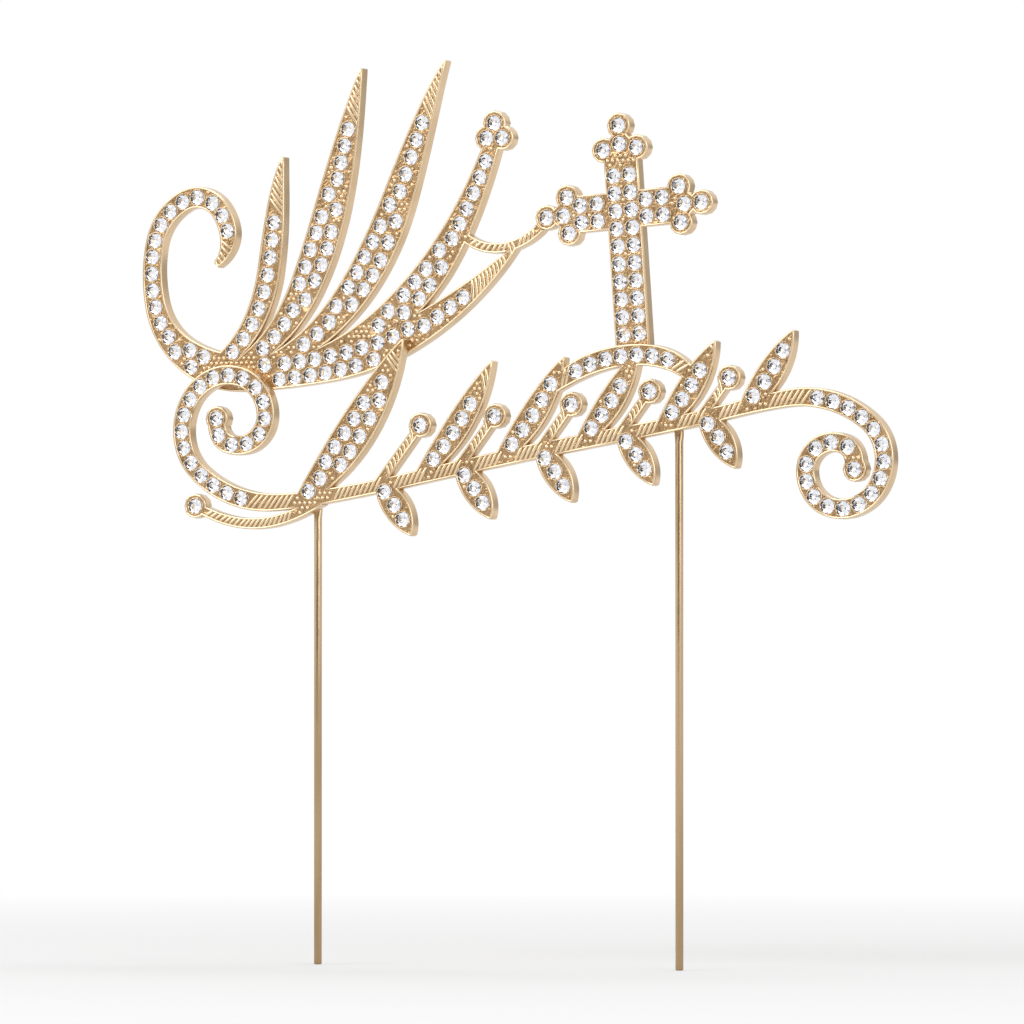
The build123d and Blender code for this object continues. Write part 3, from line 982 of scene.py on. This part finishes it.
def combine(tree, operation, first, second):
    """One value from two, such as their product or the larger of them."""
    node = tree.nodes.new("ShaderNodeMath")
    node.operation = operation
    tree.links.new(first, node.inputs[0])
    tree.links.new(second, node.inputs[1])
    return node.outputs[0]


def seen_by(tree, rays):
    """One where a surface is seen straight, in a mirror or through glass, and zero where it gives light."""
    seen = rays.outputs["Is Camera Ray"]
    for kind in ("Is Glossy Ray", "Is Transmission Ray"):
        seen = combine(tree, "MAXIMUM", seen, rays.outputs[kind])
    return seen


floor_white, floor_tree, floor_shader = new_material("floor_white")
floor_shader.inputs["Base Color"].default_value = (0.9, 0.9, 0.9, 1)
floor_shader.inputs["Roughness"].default_value = 0.9
floor_shader.inputs["Specular IOR Level"].default_value = 0.0
glow = floor_tree.nodes.new("ShaderNodeEmission")
fade = floor_tree.nodes.new("ShaderNodeMixShader")
floor_coords = floor_tree.nodes.new("ShaderNodeTexCoord")
distance = floor_tree.nodes.new("ShaderNodeVectorMath")
distance.operation = "LENGTH"
floor_tree.links.new(floor_coords.outputs["Object"], distance.inputs[0])
far_off = spread(floor_tree, distance.outputs["Value"], 0, 1, start=FADE_FROM, end=FADE_TO)
floor_seen = seen_by(floor_tree, floor_tree.nodes.new("ShaderNodeLightPath"))
floor_tree.links.new(combine(floor_tree, "MULTIPLY", far_off, floor_seen), fade.inputs["Fac"])
floor_tree.links.new(floor_shader.outputs["BSDF"], fade.inputs[1])
floor_tree.links.new(glow.outputs["Emission"], fade.inputs[2])
floor_tree.links.new(fade.outputs["Shader"], floor_tree.nodes["Material Output"].inputs["Surface"])
bpy.ops.object.select_all(action="DESELECT")
bpy.ops.mesh.primitive_plane_add(size=FLOOR_SIZE, location=(0, 0, cad_box[0][2]))
floor = bpy.context.object
floor.name = "floor"
floor.data.materials.append(floor_white)
print("floor at", round(cad_box[0][2] / MM, 2), "mm")


# %% [markdown]
# The world is the white backdrop that the camera sees, and that metal and glass mirror. Polished metal and
# cut glass only show their shape when what they mirror varies, so low in front and low behind, where a viewer
# stands, the mirrored white falls off to grey. The light that the world gives is plain and even.

# %% World
ROOM_LIGHT = 0.5

world = bpy.data.worlds.new("studio")
bpy.context.scene.world = world
world.use_nodes = True
sky = world.node_tree
sky.nodes.clear()
backdrop = sky.nodes.new("ShaderNodeBackground")
room = sky.nodes.new("ShaderNodeBackground")
room.inputs["Color"].default_value = (1, 1, 1, 1)
room.inputs["Strength"].default_value = ROOM_LIGHT
sky_coords = sky.nodes.new("ShaderNodeTexCoord")
ways = sky.nodes.new("ShaderNodeSeparateXYZ")
sky.links.new(sky_coords.outputs["Generated"], ways.inputs[0])
in_front = spread(sky, ways.outputs["Y"], 0.9, 0, start=-0.99, end=-0.8)
behind = spread(sky, ways.outputs["Y"], 0, 0.55, start=0.5, end=0.97)
low_down = spread(sky, ways.outputs["Z"], 1, 0, start=0.1, end=0.35)
viewer = combine(sky, "MULTIPLY", combine(sky, "MAXIMUM", in_front, behind), low_down)
mirrored = spread(sky, viewer, 1, 0, start=0, end=1)
sky_rays = sky.nodes.new("ShaderNodeLightPath")
shown = combine(sky, "MAXIMUM", mirrored, sky_rays.outputs["Is Camera Ray"])
sky.links.new(shown, backdrop.inputs["Color"])
either = sky.nodes.new("ShaderNodeMixShader")
sky.links.new(seen_by(sky, sky_rays), either.inputs["Fac"])
sky.links.new(room.outputs["Background"], either.inputs[1])
sky.links.new(backdrop.outputs["Background"], either.inputs[2])
sky_out = sky.nodes.new("ShaderNodeOutputWorld")
sky.links.new(either.outputs["Shader"], sky_out.inputs["Surface"])
print("world", world.name)


# %% [markdown]
# Three soft square lamps stand round the topper: a key at the upper left, a weaker fill at the right and one
# overhead. They are large enough for many facets of the stones to catch them, and yet not all.

# %% Lamps
LAMP_AIM = Vector((0, 0, 70 * MM))


def softbox(name, place, size, power):
    """A square soft lamp that faces the panel."""
    bpy.ops.object.light_add(type="AREA", location=place)
    lamp = bpy.context.object
    lamp.name = name
    lamp.data.size = size
    lamp.data.energy = power
    lamp.rotation_euler = (LAMP_AIM - Vector(place)).to_track_quat("-Z", "Y").to_euler()
    print(name, power, "W")


softbox("key_softbox", place=(-0.55, -0.75, 0.65), size=0.8, power=5.4)
softbox("fill_softbox", place=(0.75, -0.6, 0.35), size=0.6, power=2.2)
softbox("top_softbox", place=(0.1, 0.15, 0.9), size=0.5, power=2.2)


# %% [markdown]
# The camera stands where the photograph was taken from: 25 degrees round to the right, a little below the
# panel's middle and 1.25 m away. A long lens takes in the topper from the tips of its stakes to its plumes.

# %% Camera
PANEL_MIDDLE = Vector((3 * MM, 0, 75 * MM))
AZIMUTH = math.radians(25)
ELEVATION = math.radians(-2.6)
CAMERA_AWAY = 1.245
VIEW_WIDTH = 0.154
SENSOR_WIDTH = 36

level = math.cos(ELEVATION)
away = Vector((math.sin(AZIMUTH) * level, -math.cos(AZIMUTH) * level, math.sin(ELEVATION)))
bpy.ops.object.camera_add(location=PANEL_MIDDLE + away * CAMERA_AWAY)
camera = bpy.context.object
middle = Vector([(low + high) / 2 for low, high in zip(*cad_box)])
camera.rotation_euler = (middle - camera.location).to_track_quat("-Z", "Y").to_euler()
camera.data.sensor_width = SENSOR_WIDTH
camera.data.lens = SENSOR_WIDTH * CAMERA_AWAY / VIEW_WIDTH
bpy.context.scene.camera = camera
bpy.context.scene.view_settings.view_transform = "Standard"
print("camera with a lens of", round(camera.data.lens), "mm")
